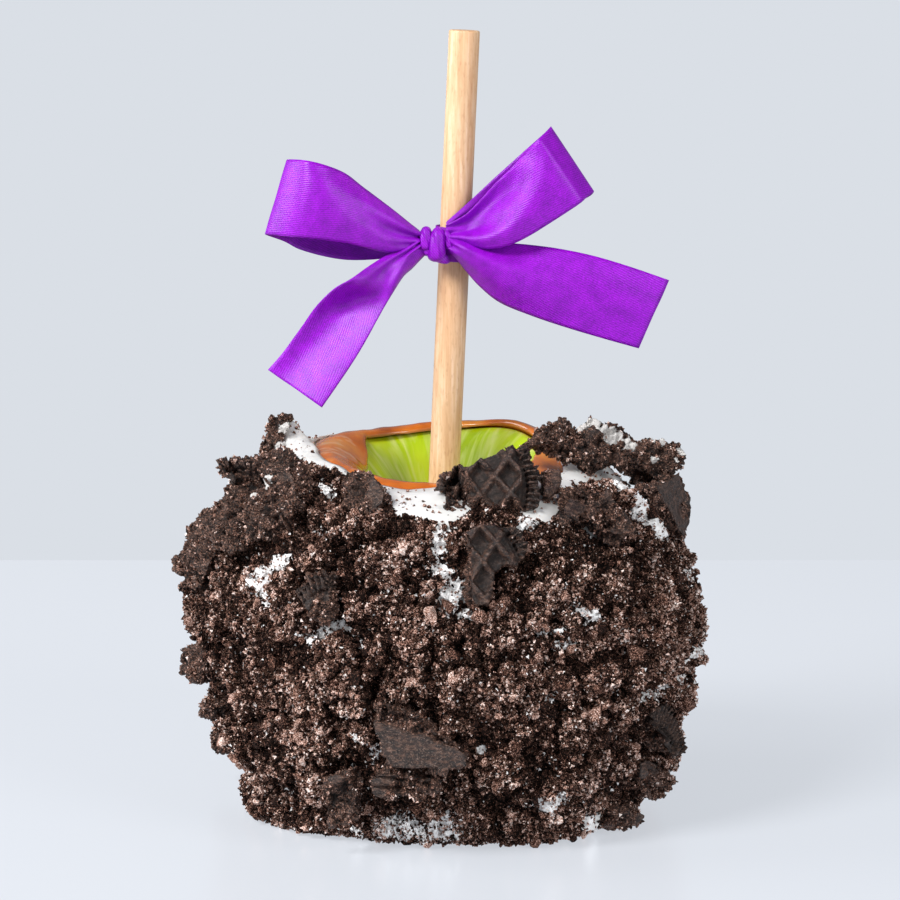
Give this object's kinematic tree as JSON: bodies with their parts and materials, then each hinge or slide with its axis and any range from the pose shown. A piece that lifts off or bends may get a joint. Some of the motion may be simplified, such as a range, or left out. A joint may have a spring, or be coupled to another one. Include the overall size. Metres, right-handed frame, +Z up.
{
  "type": "caramel apple",
  "caption": "Round sweet on a wooden stick: a whole green fruit under caramel and white coating, rolled in broken cocoa biscuit, with a ribbon bow.",
  "frame": {"origin": "on the flat base it stands on, straight below the middle of the fruit", "axes": "+Z up along the fruit, -Y towards the side that is shown first, +X to the viewer's right"},
  "size_m": [0.1093, 0.1114, 0.1618],
  "materials": {
    "fruit_skin": "waxy green fruit skin with pale streaks",
    "caramel": "glossy, slightly see-through cooked sugar",
    "white_coating": "set white confectionery coating, satin",
    "crumbs": "dry broken cocoa biscuit crumbs, rough",
    "biscuit": "baked cocoa biscuit, dull with a faint sheen",
    "birch": "sanded birch dowel",
    "satin": "purple woven satin ribbon"
  },
  "bodies": {
    "root": {"fruit": "fruit_skin", "caramel": "caramel", "white_coating": "white_coating", "crumb_coat": "crumbs", "biscuit_piece_01": "biscuit", "biscuit_piece_02": "biscuit", "biscuit_piece_03": "biscuit", "biscuit_piece_04": "biscuit", "biscuit_piece_05": "biscuit", "biscuit_piece_06": "biscuit", "biscuit_piece_07": "biscuit", "biscuit_piece_08": "biscuit", "biscuit_piece_09": "biscuit", "biscuit_piece_10": "biscuit", "biscuit_piece_11": "biscuit", "biscuit_piece_12": "biscuit", "biscuit_piece_13": "biscuit", "biscuit_piece_14": "biscuit", "biscuit_piece_15": "biscuit", "biscuit_piece_16": "biscuit", "biscuit_piece_17": "biscuit", "biscuit_piece_18": "biscuit", "biscuit_piece_19": "biscuit", "biscuit_piece_20": "biscuit", "biscuit_piece_21": "biscuit", "biscuit_piece_22": "biscuit", "biscuit_piece_23": "biscuit", "biscuit_piece_24": "biscuit", "biscuit_piece_25": "biscuit", "biscuit_piece_26": "biscuit", "biscuit_piece_27": "biscuit", "biscuit_piece_28": "biscuit", "biscuit_piece_29": "biscuit", "biscuit_piece_30": "biscuit", "stick": "birch", "ribbon_bow": "satin"}
  },
  "joints": []
}
